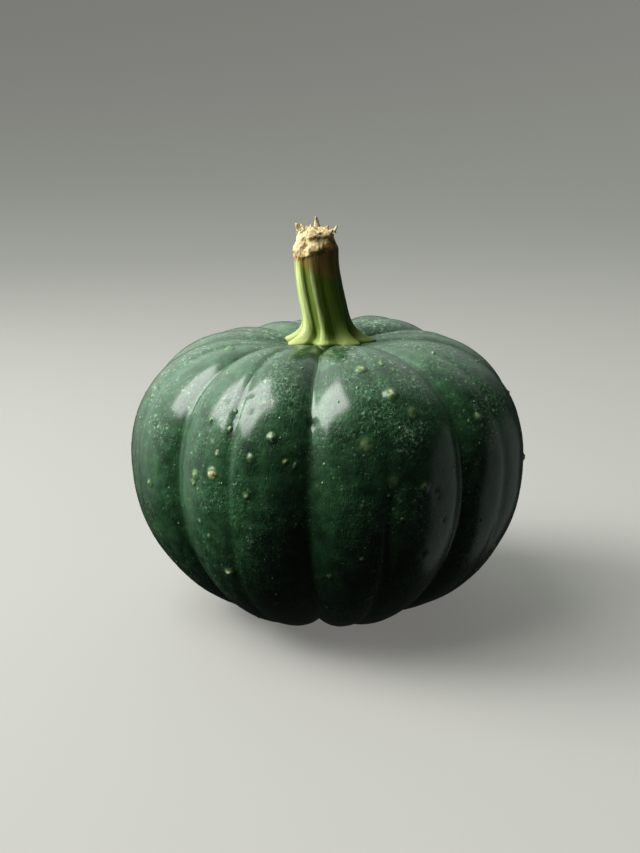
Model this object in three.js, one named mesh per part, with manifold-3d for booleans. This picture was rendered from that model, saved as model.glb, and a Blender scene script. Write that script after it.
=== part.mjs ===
import * as THREE from 'three';
import { mergeVertices } from 'three/addons/utils/BufferGeometryUtils.js';
import Module from 'manifold-3d';

// A small ribbed winter squash with the stub of its stem, as picked.
//
// Units are millimetres and +Z is up. The origin is on the plane that the fruit rests on, under
// its middle, and the front of the fruit faces -Y. Azimuths are in degrees, zero at the front
// (-Y) and growing towards +X. Heights inside the rules below are measured from the equator.

// Fruit: a meridian made of two superellipse quarters, sunk at the crown and at the blossom end.
const FRUIT_RADIUS = 78.5;
const SHOULDER_HEIGHT = 56;
const BELLY_DEPTH = 69.9;
const SHOULDER_EXPONENT = 2.465;
const BELLY_EXPONENT = 2.093;
const CROWN_SINK = 12.8;
const CROWN_SINK_RADIUS = 35.5;
const BLOSSOM_SINK = 9.5;
const BLOSSOM_SINK_RADIUS = 20;
const RESTING_DEPTH = 63.7;

// Lobes: the azimuth where each one begins, how far its crest swells out, and how far its
// shoulder rises or drops. A shallow furrow runs down the middle of each.
const LOBES = [
  { start: -48, swell: 0, rise: 0 },
  { start: -5, swell: 0, rise: 0 },
  { start: 42, swell: 1, rise: -2.5 },
  { start: 90, swell: 0.5, rise: -3 },
  { start: 125, swell: 0, rise: 0.5 },
  { start: 172, swell: 0, rise: -2 },
  { start: 222, swell: 0, rise: -2.5 },
  { start: 266, swell: 0, rise: -2.5 },
];
const GROOVE_DEPTH = 7;
const GROOVE_ONSET = 47;
const GROOVE_BLUNTNESS = 0.05;
const LOBE_FULLNESS = 0.943;
const UNDERSIDE_FADE = 0.3;
const UNDERSIDE_FADE_EXPONENT = 1.5;
const FURROW_DEPTH = 0.8;
const FURROW_HALF_WIDTH = 0.1;
const FURROW_EXPONENT = 1.3;
const FURROW_ONSET = 20;
const FURROW_FULL = 45;
const RISE_ONSET = 27.5;

// Stem: a ridged shaft with a flared foot, whose toes are its ridges, and a swollen torn end. It
// leans towards -X on its way up and then stands straight.
const STEM_LENGTH = 46;
const STEM_ROOT = 6;
const STEM_FOOT_X = 1.2;
const STEM_LEAN = 5.4;
const STEM_LEAN_FROM = -3;
const STEM_LEAN_TO = 34;
const SHAFT_RADIUS = 8.6;
const SHAFT_TAPER = 0.6;
const FOOT_FLARE = 6.7;
const TOE_FLARE = 2.5;
const FOOT_FLARE_HEIGHT = 3.4;
const FOOT_EDGE_HEIGHT = 1.5;
const CRUST_SWELL = 1;
const CRUST_HEIGHT = 9;
const END_ROUNDING = 0.65;
const END_HOLLOW = 1;
const RIDGE_AZIMUTHS = [-44, -6, 39, 82, 124, 167, 212, 262];
const RIDGE_HEIGHT = 1;

// Space kept between the stem's foot and the crown.
const GAP = 0.3;

// How finely the surfaces are divided. The shaft's rows crowd together towards its foot.
const FRUIT_ROWS = 34;
const FRUIT_COLUMNS_PER_LOBE = 10;
const STEM_SHAFT_ROWS = 12;
const STEM_ROW_CROWDING = 1.5;
const STEM_COLUMNS_PER_RIDGE = 6;

// Half of the fruit's outline, from the blossom end (t = 0) round the equator to the crown.
class Meridian extends THREE.Curve {
  getPoint(t, target = new THREE.Vector2()) {
    const angle = Math.PI * (t - 0.5);
    const upper = angle > 0;
    const exponent = upper ? SHOULDER_EXPONENT : BELLY_EXPONENT;
    const reach = Math.abs(Math.cos(angle)) ** (2 / exponent);
    const climb = Math.abs(Math.sin(angle)) ** (2 / exponent);
    const radius = reach * FRUIT_RADIUS;
    if (upper) {
      const sink = CROWN_SINK * Math.exp(-((radius / CROWN_SINK_RADIUS) ** 2));
      return target.set(radius, climb * SHOULDER_HEIGHT - sink);
    }
    const sink = BLOSSOM_SINK * Math.exp(-((radius / BLOSSOM_SINK_RADIUS) ** 2));
    return target.set(radius, sink - climb * BELLY_DEPTH);
  }
}

// Height of a lobe's cross-section, 1 at its crest (across = 0) and 0 in the groove (across = 1).
function lobeSection(across) {
  const blunt = GROOVE_BLUNTNESS;
  const inward = 1 - Math.abs(across);
  const rounded = (Math.hypot(inward, blunt) - blunt) / (Math.hypot(1, blunt) - blunt);
  const edge = Math.sqrt(1 - LOBE_FULLNESS ** 2);
  const arc = Math.sqrt(1 - (LOBE_FULLNESS * (1 - rounded)) ** 2);
  return (arc - edge) / (1 - edge);
}

// Sets every vertex of a lathe again, where column and row say which one it is.
function shapeLathe(profile, columns, place) {
  const lathe = new THREE.LatheGeometry(profile, columns);
  const position = lathe.getAttribute('position');
  for (let column = 0; column <= columns; column++) {
    for (let row = 0; row < profile.length; row++) {
      const point = place(column % columns, row);
      position.setXYZ(column * profile.length + row, point.x, point.y, point.z);
    }
  }
  return lathe;
}

// A point at this azimuth and distance from a vertical axis.
function aroundAxis(azimuth, radius, height) {
  const angle = THREE.MathUtils.degToRad(azimuth);
  return new THREE.Vector3(radius * Math.sin(angle), -radius * Math.cos(angle), height);
}

function makeFruit() {
  const meridian = new Meridian();
  const profile = meridian.getSpacedPoints(FRUIT_ROWS);
  profile[0].x = 0;
  profile[FRUIT_ROWS].x = 0;

  function place(column, row) {
    const index = Math.floor(column / FRUIT_COLUMNS_PER_LOBE);
    const lobe = LOBES[index];
    const end = index + 1 < LOBES.length ? LOBES[index + 1].start : LOBES[0].start + 360;
    const step = (column % FRUIT_COLUMNS_PER_LOBE) / FRUIT_COLUMNS_PER_LOBE;
    const across = -Math.cos(Math.PI * step);
    const azimuth = (lobe.start + end) / 2 + (across * (end - lobe.start)) / 2;

    const base = profile[row];
    const tangent = meridian.getTangentAt(row / FRUIT_ROWS);
    const outward = base.x / FRUIT_RADIUS;
    const underside = base.y < 0 ? UNDERSIDE_FADE * (1 - outward) ** UNDERSIDE_FADE_EXPONENT : 0;
    const grooveDepth = GROOVE_DEPTH * Math.tanh(base.x / GROOVE_ONSET) * (1 - underside);
    const furrow = Math.exp(-((Math.abs(across) / FURROW_HALF_WIDTH) ** FURROW_EXPONENT));
    const furrowDepth = FURROW_DEPTH * furrow * THREE.MathUtils.smoothstep(base.x, FURROW_ONSET, FURROW_FULL);
    const crest = Math.cos((across * Math.PI) / 2);
    const push = grooveDepth * (lobeSection(across) - 1) - furrowDepth + lobe.swell * crest * outward;

    const upward = Math.sqrt(Math.max(base.y, 0) / SHOULDER_HEIGHT);
    const rise = lobe.rise * crest * upward * Math.tanh(base.x / RISE_ONSET);
    const height = base.y - tangent.x * push + rise + RESTING_DEPTH;
    return aroundAxis(azimuth, base.x + tangent.y * push, Math.max(height, 0));
  }

  return shapeLathe(profile, LOBES.length * FRUIT_COLUMNS_PER_LOBE, place);
}

// The stem before its foot is cut to the crown. Its heights start at the bottom of the crown.
function makeWholeStem() {
  const crownHeight = SHOULDER_HEIGHT - CROWN_SINK + RESTING_DEPTH;
  const profile = [new THREE.Vector2(0, -STEM_ROOT), new THREE.Vector2(1, -STEM_ROOT)];
  for (let row = 0; row <= STEM_SHAFT_ROWS; row++) {
    const climb = (row / STEM_SHAFT_ROWS) ** STEM_ROW_CROWDING;
    profile.push(new THREE.Vector2(1, FOOT_EDGE_HEIGHT + climb * (STEM_LENGTH - 2 * FOOT_EDGE_HEIGHT)));
  }
  profile.push(new THREE.Vector2(END_ROUNDING, STEM_LENGTH));
  profile.push(new THREE.Vector2(0, STEM_LENGTH - END_HOLLOW));

  function place(column, row) {
    const index = Math.floor(column / STEM_COLUMNS_PER_RIDGE);
    const start = RIDGE_AZIMUTHS[index];
    const next = RIDGE_AZIMUTHS[index + 1] ?? RIDGE_AZIMUTHS[0] + 360;
    const step = (column % STEM_COLUMNS_PER_RIDGE) / STEM_COLUMNS_PER_RIDGE;
    const azimuth = start + step * (next - start);
    const ridge = 0.5 + 0.5 * Math.cos(2 * Math.PI * step);

    const height = profile[row].y;
    const aboveEdge = Math.max(height - FOOT_EDGE_HEIGHT, 0);
    const flare = (FOOT_FLARE + TOE_FLARE * ridge) * Math.exp(-aboveEdge / FOOT_FLARE_HEIGHT);
    const taper = (SHAFT_TAPER * aboveEdge) / STEM_LENGTH;
    const crust = CRUST_SWELL * THREE.MathUtils.smoothstep(height, STEM_LENGTH - CRUST_HEIGHT, STEM_LENGTH);
    const radius = SHAFT_RADIUS - taper + RIDGE_HEIGHT * ridge + flare + crust;
    const point = aroundAxis(azimuth, profile[row].x * radius, height + crownHeight);
    point.x += STEM_FOOT_X;
    point.x -= STEM_LEAN * THREE.MathUtils.smoothstep(height, STEM_LEAN_FROM, STEM_LEAN_TO);
    return point;
  }

  return shapeLathe(profile, RIDGE_AZIMUTHS.length * STEM_COLUMNS_PER_RIDGE, place);
}

const wasm = await Module();
wasm.setup();

// A closed geometry as a solid that can be cut. Triangles that a pole has folded up are left out.
function toSolid(geometry) {
  const bare = geometry.clone();
  bare.deleteAttribute('normal');
  bare.deleteAttribute('uv');
  const merged = mergeVertices(bare);
  const corners = [];
  for (let i = 0; i < merged.index.count; i += 3) {
    const [a, b, c] = [merged.index.getX(i), merged.index.getX(i + 1), merged.index.getX(i + 2)];
    if (a !== b && b !== c && c !== a) {
      corners.push(a, b, c);
    }
  }
  return new wasm.Manifold(new wasm.Mesh({
    numProp: 3,
    vertProperties: merged.getAttribute('position').array,
    triVerts: new Uint32Array(corners),
  }));
}

function toGeometry(solid) {
  const mesh = solid.getMesh();
  const geometry = new THREE.BufferGeometry();
  geometry.setAttribute('position', new THREE.BufferAttribute(mesh.vertProperties, 3));
  geometry.setIndex(new THREE.BufferAttribute(mesh.triVerts, 1));
  geometry.computeVertexNormals();
  return geometry;
}

// The foot follows the crown, one gap above it.
function makeStem(fruit) {
  const raisedFruit = fruit.clone().translate(0, 0, GAP);
  return toGeometry(toSolid(makeWholeStem()).subtract(toSolid(raisedFruit)));
}

function addMesh(group, name, geometry, color, roughness) {
  const material = new THREE.MeshStandardMaterial({ color, roughness, metalness: 0 });
  const mesh = new THREE.Mesh(geometry, material);
  mesh.name = name;
  group.add(mesh);
}

const squash = new THREE.Group();
const fruit = makeFruit();
addMesh(squash, 'fruit', fruit, '#2b3d1f', 0.38);
addMesh(squash, 'stem', makeStem(fruit), '#8c9660', 0.7);

export default squash;
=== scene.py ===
"""Ribbed winter squash with its stem stub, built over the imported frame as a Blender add-on run as a script.

Units are metres and +Z is up. The fruit stands on z = 0 and its front faces -Y. Azimuths are in
degrees, zero at the front and growing towards +X. Heights in the rules are measured from the
fruit's equator unless they say otherwise.
"""

import math

import bmesh
import bpy
import numpy as np
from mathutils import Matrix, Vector


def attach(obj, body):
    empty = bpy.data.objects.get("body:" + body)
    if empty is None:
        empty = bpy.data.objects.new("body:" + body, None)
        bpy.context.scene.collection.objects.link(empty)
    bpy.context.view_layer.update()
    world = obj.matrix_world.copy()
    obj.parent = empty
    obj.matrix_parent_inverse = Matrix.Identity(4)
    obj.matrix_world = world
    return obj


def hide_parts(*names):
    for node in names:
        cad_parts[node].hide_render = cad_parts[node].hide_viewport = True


bl_info = {
    "name": "Winter Squash",
    "version": (1, 0, 0),
    "blender": (4, 5, 0),
    "location": "3D View > Sidebar > Squash",
    "description": "Builds a ribbed winter squash, its stem and a small studio",
    "category": "Object",
}

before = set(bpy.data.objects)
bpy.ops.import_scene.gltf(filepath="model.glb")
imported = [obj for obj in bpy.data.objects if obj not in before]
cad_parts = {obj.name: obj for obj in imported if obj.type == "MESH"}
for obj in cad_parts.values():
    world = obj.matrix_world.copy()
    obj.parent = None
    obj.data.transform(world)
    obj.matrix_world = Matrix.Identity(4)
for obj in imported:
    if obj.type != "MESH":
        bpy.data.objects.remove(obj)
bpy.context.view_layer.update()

MM = 0.001

# The body's meridian: two superellipse quarters, sunk at the crown and at the blossom end.
FRUIT_RADIUS = 78.5 * MM
SHOULDER_HEIGHT = 56 * MM
BELLY_DEPTH = 69.9 * MM
SHOULDER_EXPONENT = 2.465
BELLY_EXPONENT = 2.093
CROWN_SINK = 12.8 * MM
CROWN_SINK_RADIUS = 35.5 * MM
BLOSSOM_SINK = 9.5 * MM
BLOSSOM_SINK_RADIUS = 20 * MM
RESTING_DEPTH = 63.7 * MM

# Lobes: where each begins, the swell of its crest, the rise of its shoulder, where its furrow
# runs (-1 at its first groove, 0 at its middle, 1 at its second groove), and how deep it is folded
# at the shoulder and at the belly.
LOBES = (
    {"start": -48, "swell": 0, "rise": 0, "furrow": 0.0, "fold": 1.1, "belly_fold": 0.7},
    {"start": -5, "swell": 0, "rise": 0, "furrow": -0.09, "fold": 0.55, "belly_fold": 1.5},
    {"start": 42, "swell": 1, "rise": -2.5, "furrow": -0.34, "fold": 0.9, "belly_fold": 1.0},
    {"start": 90, "swell": 0.5, "rise": -3, "furrow": 0.1, "fold": 0.9, "belly_fold": 1.1},
    {"start": 125, "swell": 0, "rise": 0.5, "furrow": -0.15, "fold": 0.8, "belly_fold": 0.7},
    {"start": 172, "swell": 0, "rise": -2, "furrow": 0.12, "fold": 1.0, "belly_fold": 0.8},
    {"start": 222, "swell": 0, "rise": -2.5, "furrow": -0.1, "fold": 0.9, "belly_fold": 0.9},
    {"start": 266, "swell": 0, "rise": -2.5, "furrow": 0.1, "fold": 1.0, "belly_fold": 0.8},
)
COLUMNS_PER_LOBE = 48
BODY_ROWS = 190

# The crown, where the stem stands, above the floor.
CROWN = SHOULDER_HEIGHT - CROWN_SINK + RESTING_DEPTH

# The furrows change from their belly depth to their shoulder depth between these heights.
FOLD_CHANGES = (-12 * MM, 22 * MM)

# Share of the lobe's columns that crowd towards its grooves.
COLUMN_CROWDING = 0.35

# The larger warts of the front: azimuth, height and width in mm, how tan each is and how far it
# stands out.
WARTS = (
    (-31, 10, 3.6, 0.9, 1.0), (-37, 8, 3.0, 0.4, 0.9), (-38, 5, 2.2, 0.3, 0.8), (-29, -28, 3.4, 0.4, 1.0),
    (-15, 24, 3.0, 0.1, 1.0), (-20, 17, 2.6, 0.0, 0.8), (-30, 17, 1.9, 0.1, 0.8), (-21, 4, 2.4, 0.1, 0.6),
    (-11, 16, 2.0, 0.3, 0.7), (10, 22, 6.0, 0.1, 0.25), (25, 31, 4.2, 0.0, 0.3), (13, 44, 3.4, 0.1, 0.8),
    (22, 45, 2.2, 0.1, 0.9), (20, 37, 3.9, 0.2, 1.0), (50, 25, 2.8, 0.0, 0.8), (26, 6, 3.6, 0.5, 0.5),
    (9, 1, 1.9, 0.3, 0.6), (9.5, -19, 1.9, 0.5, 0.6), (13, -38, 2.4, 0.4, 0.7), (74, 3, 2.4, 0.2, 0.8),
    (62, -30, 2.8, 0.5, 0.8), (84, -3, 3.0, 0.2, 0.9), (-60, 45, 3.4, 0.1, 0.9), (-59, -2, 2.6, 0.1, 0.8),
    (-33, -14, 2.0, 0.2, 0.6), (-36, -9, 2.2, 0.1, 0.5), (17, 9, 4.6, 0.3, 0.22),
)

# Small sunk scars of the front: azimuth, height and width in mm.
SCARS = (
    (30, 4, 1.7), (30.5, 1, 1.7), (-4.6, 31, 3.0), (-31, 34, 1.6), (-27, 30, 1.5),
    (-24, 37, 1.7), (-34, 26, 1.6), (-22, 32, 1.7), (33, -8, 1.8), (27, -20, 1.8),
)


def add_node(tree, kind, *values, links=None, **settings):
    """Adds a node: values go to its inputs in order, links to the inputs named, settings to the node."""
    node = tree.nodes.new(kind)
    for name, value in settings.items():
        setattr(node, name, value)
    pairs = list(enumerate(values)) + list((links or {}).items())
    for key, value in pairs:
        socket = node.inputs[key]
        if isinstance(value, bpy.types.Node):
            value = value.outputs[0]
        if isinstance(value, bpy.types.NodeSocket):
            tree.links.new(value, socket)
        elif value is not None:
            socket.default_value = value
    return node


class Field:
    """A number in a node tree. Arithmetic on it adds Math nodes, so that a rule reads as a formula."""

    def __init__(self, tree, socket):
        self.tree = tree
        self.socket = socket

    def math(self, operation, *values):
        node = add_node(self.tree, "ShaderNodeMath", self.socket, *plain(values), operation=operation)
        return Field(self.tree, node.outputs[0])

    def __add__(self, other):
        return self.math("ADD", other)

    def __sub__(self, other):
        return self.math("SUBTRACT", other)

    def __rsub__(self, other):
        return self.math("MULTIPLY", -1.0).math("ADD", other)

    def __mul__(self, other):
        return self.math("MULTIPLY", other)

    def __truediv__(self, other):
        return self.math("DIVIDE", other)

    def __pow__(self, other):
        return self.math("POWER", other)

    def clamped(self):
        return self.math("MAXIMUM", 0.0).math("MINIMUM", 1.0)


def plain(values):
    """Sockets in place of fields, and other values as they are."""
    return [value.socket if isinstance(value, Field) else value for value in values]


class ShapeTree:
    """A Geometry Nodes tree with named inputs. It ends in Realize Instances and Set Material."""

    def __init__(self, name, inputs):
        self.tree = bpy.data.node_groups.new(name, "GeometryNodeTree")
        self.tree.is_modifier = True
        self.identifiers = {}
        self.add_socket("Geometry", "NodeSocketGeometry", "INPUT")
        self.add_socket("Material", "NodeSocketMaterial", "INPUT")
        for label, value in inputs.items():
            kind = "NodeSocketInt" if isinstance(value, int) else "NodeSocketFloat"
            if isinstance(value, bpy.types.Object):
                kind = "NodeSocketObject"
            self.add_socket(label, kind, "INPUT")
        self.add_socket("Geometry", "NodeSocketGeometry", "OUTPUT")
        self.values = inputs
        self.entry = add_node(self.tree, "NodeGroupInput")

    def add_socket(self, label, kind, direction):
        socket = self.tree.interface.new_socket(name=label, socket_type=kind, in_out=direction)
        if direction == "INPUT":
            self.identifiers[label] = socket.identifier

    def given(self, label):
        return Field(self.tree, self.entry.outputs[label])

    def add(self, kind, *values, links=None, **settings):
        wired = {key: plain([value])[0] for key, value in (links or {}).items()}
        return add_node(self.tree, kind, *plain(values), links=wired, **settings)

    def field(self, kind, *values, output=0, links=None, **settings):
        return Field(self.tree, self.add(kind, *values, links=links, **settings).outputs[output])

    def finish(self, geometry):
        realized = self.add("GeometryNodeRealizeInstances", geometry)
        shaded = self.add("GeometryNodeSetMaterial", realized, links={"Material": self.given("Material")})
        add_node(self.tree, "NodeGroupOutput", shaded)

    def apply(self, blank, name, material):
        """Runs the tree on a blank object and returns the result as a plain object."""
        modifier = blank.modifiers.new(name, "NODES")
        modifier.node_group = self.tree
        modifier[self.identifiers["Material"]] = material
        for label, value in self.values.items():
            modifier[self.identifiers[label]] = value
        bpy.context.view_layer.update()
        evaluated = blank.evaluated_get(bpy.context.evaluated_depsgraph_get())
        mesh = bpy.data.meshes.new_from_object(evaluated)
        mesh.name = name
        blank.modifiers.remove(modifier)
        bpy.data.objects.remove(blank)
        mesh.shade_smooth()
        return add_object(name, mesh)


def add_object(name, data):
    piece = bpy.data.objects.new(name, data)
    bpy.context.scene.collection.objects.link(piece)
    return piece


def set_attribute(mesh, name, values):
    """Stores one number or one vector for each vertex."""
    values = np.asarray(values, np.float32)
    kind, key = ("FLOAT_VECTOR", "vector") if values.ndim == 2 else ("FLOAT", "value")
    mesh.attributes.new(name, kind, "POINT").data.foreach_set(key, values.ravel())


def smooth_between(low, high, value):
    t = np.clip((value - low) / (high - low), 0, 1)
    return t * t * (3 - 2 * t)


def around_axis(azimuth, radius, height):
    """Points at these azimuths (degrees), distances from the axis and heights."""
    angle = np.radians(azimuth)
    return np.stack([radius * np.sin(angle), -radius * np.cos(angle), height + 0 * angle], axis=-1)


def closed_lathe(name, rings, first_pole, last_pole):
    """A closed mesh of rings (row, column, xyz) between two poles. Rows run from the bottom to the top."""
    rows, columns = rings.shape[:2]
    points = np.vstack([rings.reshape(-1, 3), first_pole, last_pole])
    faces = []
    for column in range(columns):
        beside = (column + 1) % columns
        for row in range(rows - 1):
            low, high = row * columns, (row + 1) * columns
            faces.append((low + column, low + beside, high + beside, high + column))
        faces.append((beside, column, rows * columns))
        faces.append(((rows - 1) * columns + column, (rows - 1) * columns + beside, rows * columns + 1))
    mesh = bpy.data.meshes.new(name)
    mesh.from_pydata(points.tolist(), [], faces)
    return mesh


def linear_color(code):
    """An sRGB hex colour as linear RGBA."""
    channels = [int(code[i:i + 2], 16) / 255 for i in (1, 3, 5)]
    return [c / 12.92 if c <= 0.04045 else ((c + 0.055) / 1.055) ** 2.4 for c in channels] + [1.0]


# ---------------------------------------------------------------- fruit

def meridian(angle):
    """Radius and height of the smooth body at angles from -pi/2 (blossom end) to pi/2 (crown)."""
    upper = angle > 0
    exponent = np.where(upper, SHOULDER_EXPONENT, BELLY_EXPONENT)
    reach = np.abs(np.cos(angle)) ** (2 / exponent)
    climb = np.abs(np.sin(angle)) ** (2 / exponent)
    radius = reach * FRUIT_RADIUS
    crown = climb * SHOULDER_HEIGHT - CROWN_SINK * np.exp(-(radius / CROWN_SINK_RADIUS) ** 2)
    belly = BLOSSOM_SINK * np.exp(-(radius / BLOSSOM_SINK_RADIUS) ** 2) - climb * BELLY_DEPTH
    return radius, np.where(upper, crown, belly)


def evenly_spaced_meridian(count):
    """Radius, height and arc length at rows an equal distance apart, poles included."""
    angle = np.linspace(-math.pi / 2, math.pi / 2, 4000)
    radius, height = meridian(angle)
    length = np.concatenate([[0], np.cumsum(np.hypot(np.diff(radius), np.diff(height)))])
    even = np.linspace(0, length[-1], count)
    radius, height = meridian(np.interp(even, length, angle))
    return radius, height, even


def lobe_columns():
    """Azimuth, place across its lobe and lobe data of every column, closer together at the grooves."""
    step = -np.cos(np.pi * np.arange(COLUMNS_PER_LOBE) / COLUMNS_PER_LOBE)
    across_evenly = np.linspace(-1, 1, COLUMNS_PER_LOBE, endpoint=False)
    across = COLUMN_CROWDING * step + (1 - COLUMN_CROWDING) * across_evenly
    columns = []
    for lobe, after in zip(LOBES, LOBES[1:] + ({"start": LOBES[0]["start"] + 360},)):
        azimuth = lobe["start"] + (across + 1) * (after["start"] - lobe["start"]) / 2
        data = [np.full_like(across, lobe[key]) for key in ("swell", "rise", "furrow", "fold", "belly_fold")]
        columns.append(np.stack([azimuth, across, *data]))
    return np.concatenate(columns, axis=1)


def scars(mesh):
    """How deep in a scar each vertex of the smooth body is, from 0 to 1."""
    points = np.array([vertex.co for vertex in mesh.vertices])
    depth = np.zeros(len(points))
    flank_radius, flank_height = meridian(np.linspace(-1.4, 1.4, 400))
    for azimuth, height, width in SCARS:
        reach = np.interp(height * MM, flank_height, flank_radius)
        middle = around_axis(azimuth, reach, height * MM + RESTING_DEPTH)
        away = np.linalg.norm(points - middle, axis=1)
        depth = np.maximum(depth, np.exp(-(away / (width * MM / 2)) ** 2))
    return depth


def smooth_body():
    """The body before its ribs, with the attributes that the ribs are made from."""
    azimuth, across, swell, rise, furrow, fold, belly_fold = lobe_columns()
    radius, height, length = evenly_spaced_meridian(BODY_ROWS)
    inner = slice(1, -1)
    rings = around_axis(azimuth[None, :], radius[inner, None], height[inner, None] + RESTING_DEPTH)
    poles = [(0, 0, height[0] + RESTING_DEPTH), (0, 0, height[-1] + RESTING_DEPTH)]
    mesh = closed_lathe("smooth_body", rings, *poles)

    def per_vertex(values, first, last):
        grid = np.broadcast_to(values, rings.shape[:2]).ravel()
        return np.concatenate([grid, [first, last]])

    set_attribute(mesh, "across", per_vertex(across, 0, 0))
    high_up = smooth_between(0, SHOULDER_HEIGHT, height[inner, None])
    set_attribute(mesh, "crest", per_vertex(np.cos(across * math.pi / 2) * high_up, 0, 1))
    set_attribute(mesh, "from_furrow", per_vertex(across - furrow, 1, 1))
    shoulder = smooth_between(*FOLD_CHANGES, height[inner, None])
    set_attribute(mesh, "fold", per_vertex(belly_fold + (fold - belly_fold) * shoulder, 1, 1))
    set_attribute(mesh, "scar", scars(mesh))
    set_attribute(mesh, "swell", per_vertex(swell * MM, 0, 0))
    set_attribute(mesh, "rise", per_vertex(rise * MM, 0, 0))
    set_attribute(mesh, "reach", per_vertex(radius[inner, None], 0, 0))
    set_attribute(mesh, "climb", per_vertex(height[inner, None], height[0], height[-1]))
    turn = around_axis(azimuth, FRUIT_RADIUS, 0)
    grain = [per_vertex(turn[:, 0], 0, 0), per_vertex(turn[:, 1], 0, 0)]
    grain.append(per_vertex(length[inner, None], 0, length[-1]))
    set_attribute(mesh, "grain", np.stack(grain, axis=-1))
    return mesh


# Sizes of the rib rule: the bends of a groove, the fine ripples, and the distances from the axis
# between which the furrows open.
WANDER_SIZE = 30 * MM
RIPPLE_SIZE = 5 * MM
FURROW_OPENS = (18 * MM, 42 * MM)


def rib_tree(settings):
    """Ribs, furrows and lumps on the smooth body."""
    shape = ShapeTree("Squash ribs", {
        "Groove depth": settings.groove_depth,
        "Groove onset": 47 * MM,
        "Groove bluntness": 0.05,
        "Groove wander": 0.035,
        "Lobe fullness": 0.943,
        "Underside fade": 0.3,
        "Furrow depth": settings.furrow_depth,
        "Furrow half width": 0.06,
        "Trough half width": 0.3,
        "Lump height": settings.lump_height,
        "Lump size": 26 * MM,
        "Ripple height": 0.18 * MM,
        "Scar depth": 0.8 * MM,
        "Seed": 3.7,
    })
    given = shape.given
    reach, climb, across, from_furrow, fold, swell, rise, scar = (
        shape.field("GeometryNodeInputNamedAttribute", links={"Name": name})
        for name in ("reach", "climb", "across", "from_furrow", "fold", "swell", "rise", "scar"))
    grain = shape.field("GeometryNodeInputNamedAttribute", "grain", data_type="FLOAT_VECTOR")
    position = shape.field("GeometryNodeInputPosition")
    normal = shape.field("GeometryNodeInputNormal")
    seed = given("Seed")

    # The section of a lobe is the arc of a circle, rounded where two lobes meet in a groove.
    wander = shape.field("ShaderNodeTexNoise", noise_dimensions="4D", links={
        "Vector": position, "W": seed, "Scale": 1 / WANDER_SIZE, "Detail": 1.0})
    drift = (wander - 0.5) * given("Groove wander") * 2
    blunt = given("Groove bluntness")
    edge = (1 - given("Lobe fullness") ** 2) ** 0.5
    inward = 1 - (across + drift).math("ABSOLUTE")
    rounded = ((inward * inward + blunt * blunt) ** 0.5 - blunt) / ((blunt * blunt + 1) ** 0.5 - blunt)
    arc = (1 - (given("Lobe fullness") * (1 - rounded)) ** 2) ** 0.5
    section = (arc - edge) / (1 - edge)

    outward = reach / FRUIT_RADIUS
    underside = climb.math("LESS_THAN", 0.0) * given("Underside fade") * (1 - outward).clamped() ** 1.5
    depth = given("Groove depth") * (reach / given("Groove onset")).math("TANH") * (1 - underside)

    # A furrow is a narrow crease in a wide shallow trough, and it opens away from the stem.
    near_furrow = from_furrow + drift * 1.6
    furrow = ((near_furrow / given("Furrow half width")).math("ABSOLUTE") ** 1.4 * -1.0).math("EXPONENT")
    trough = ((near_furrow / given("Trough half width")) ** 2 * -1.0).math("EXPONENT")
    opened = shape.field("ShaderNodeMapRange", reach, *FURROW_OPENS, interpolation_type="SMOOTHSTEP")
    hollow = given("Furrow depth") * fold * opened * (furrow * 0.5 + trough * 0.5)

    crest = (across * (math.pi / 2)).math("COSINE")
    lumps = shape.field("ShaderNodeTexNoise", noise_dimensions="4D", links={
        "Vector": position, "W": seed + 5.0, "Scale": given("Lump size") ** -1.0, "Detail": 1.5,
        "Roughness": 0.4})
    along = shape.field("ShaderNodeVectorMath", grain, (1.0, 1.0, 0.16), operation="MULTIPLY")
    ripples = shape.field("ShaderNodeTexNoise", noise_dimensions="4D", links={
        "Vector": along, "W": seed + 9.0, "Scale": 1 / RIPPLE_SIZE, "Detail": 2.0})
    push = depth * (section - 1) - hollow + swell * crest * outward
    push = push + (lumps - 0.5) * given("Lump height") * 2 * outward - scar * given("Scar depth")
    push = push + (ripples - 0.5) * given("Ripple height") * 2 * outward

    upward = (climb.math("MAXIMUM", 0.0) / SHOULDER_HEIGHT) ** 0.5
    lift = rise * crest * upward * (reach / (FRUIT_RADIUS * 0.35)).math("TANH")
    offset = shape.field("ShaderNodeVectorMath", normal, operation="SCALE", links={"Scale": push})
    raised = shape.field("ShaderNodeCombineXYZ", 0.0, 0.0, lift)
    moved = shape.add("GeometryNodeSetPosition", given("Geometry"), links={
        "Offset": shape.field("ShaderNodeVectorMath", offset, raised, operation="ADD")})

    # The low spots of the lobes are pressed flat where they rest.
    parts = shape.add("ShaderNodeSeparateXYZ", position)
    height = Field(shape.tree, parts.outputs["Z"]).math("MAXIMUM", 0.0)
    rested = shape.field("ShaderNodeCombineXYZ", parts.outputs["X"], parts.outputs["Y"], height)
    shape.finish(shape.add("GeometryNodeSetPosition", moved, links={"Position": rested}))
    return shape


# A wart's dome spreads into the rind, so it is this many times as wide as the wart looks.
WART_SKIRT = 1.6
WART_CRUMB = 1.3 * MM


def wart_seeds(rind):
    """A point on the rind for each of the larger warts, with its width, its tan and how far it stands out."""
    places = []
    for azimuth, height, *_ in WARTS:
        outward = Vector(around_axis(azimuth, 1.0, 0.0))
        start = Vector((0, 0, height * MM + RESTING_DEPTH)) + outward * FRUIT_RADIUS * 2
        hit, place, _, _ = rind.ray_cast(start, -outward)
        if not hit:
            raise RuntimeError(f"no rind at azimuth {azimuth}, height {height}")
        places.append(place[:])
    mesh = bpy.data.meshes.new("wart_seeds")
    mesh.from_pydata(places, [], [])
    set_attribute(mesh, "wart_width", [wart[2] * WART_SKIRT * MM for wart in WARTS])
    set_attribute(mesh, "wart_tan", [wart[3] for wart in WARTS])
    set_attribute(mesh, "wart_stand", [wart[4] for wart in WARTS])
    return add_object("wart_seeds", mesh)


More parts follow.
